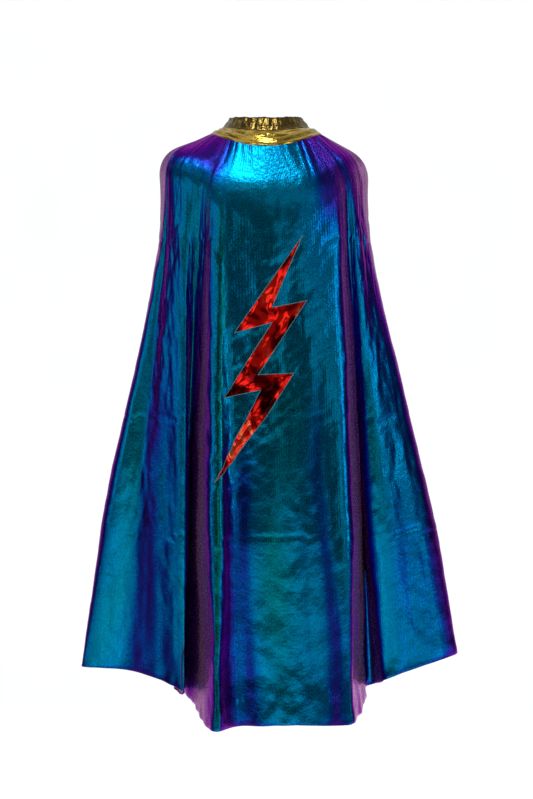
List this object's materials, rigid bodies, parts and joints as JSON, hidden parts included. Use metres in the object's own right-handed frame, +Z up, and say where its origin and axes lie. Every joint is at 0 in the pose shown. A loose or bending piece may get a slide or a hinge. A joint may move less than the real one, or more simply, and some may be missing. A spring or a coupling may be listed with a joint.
{
  "type": "superhero cape",
  "caption": "Child's gathered metallic cape with a stand-up gold collar closed at the front, a lining, and a lightning bolt sewn on the back, hanging in flared folds.",
  "frame": {"origin": "centre of the neck opening, at mid height of the collar's inner wall", "axes": "+Z up along the neck opening, +X towards the wearer's right, +Y towards the wearer's front, so the back of the cape faces -Y"},
  "size_m": [0.466, 0.2245, 0.7302],
  "materials": {
    "gold_lame": "crinkled metallic lame, satin shine",
    "cape_foil": "metallic foil print that turns from teal through blue to violet at a slant",
    "lining": "plain woven satin",
    "bolt_foil": "mirror-like red foil, lightly wrinkled",
    "border_thread": "shiny embroidery thread",
    "sewing_thread": "twisted polyester thread",
    "interfacing": "matt non-woven",
    "seam_tape": "matt woven tape",
    "hook_tape": "stiff moulded hooks",
    "loop_tape": "matt brushed loops",
    "label": "plain white satin ribbon, blank"
  },
  "bodies": {
    "collar": {"collar_stand": "gold_lame", "collar_interfacing": "interfacing", "collar_facing": "gold_lame", "collar_yoke": "gold_lame", "yoke_interfacing": "interfacing", "yoke_facing": "gold_lame", "neck_seam_tape": "seam_tape", "cape_shoulders": "cape_foil", "lining_shoulders": "lining", "loop_patch": "loop_tape", "loop_patch_stitches": "sewing_thread"},
    "drape": {"cape_drape": "cape_foil", "lining_drape": "lining", "lightning_bolt": "bolt_foil", "bolt_border": "border_thread"},
    "tab": {"closure_tab": "gold_lame", "hook_patch": "hook_tape", "hook_patch_stitches": "sewing_thread"},
    "label": {"care_label": "label", "care_label_stitches": "sewing_thread"}
  },
  "joints": [
    {"name": "cape_lift", "type": "hinge", "parent": "collar", "child": "drape", "pos_m": [0, -0.02, 0.02], "axis": [-1, 0, 0], "range_deg": [0, 35]},
    {"name": "tab_open", "type": "hinge", "parent": "collar", "child": "tab", "pos_m": [-0.01234, 0.04897, 0.00004], "axis": [0.1078, -0.4286, 0.897], "range_deg": [0, 120]},
    {"name": "label_flip", "type": "hinge", "parent": "collar", "child": "label", "pos_m": [0, -0.06475, -0.036], "axis": [1, 0, 0], "range_deg": [-10, 70]}
  ]
}
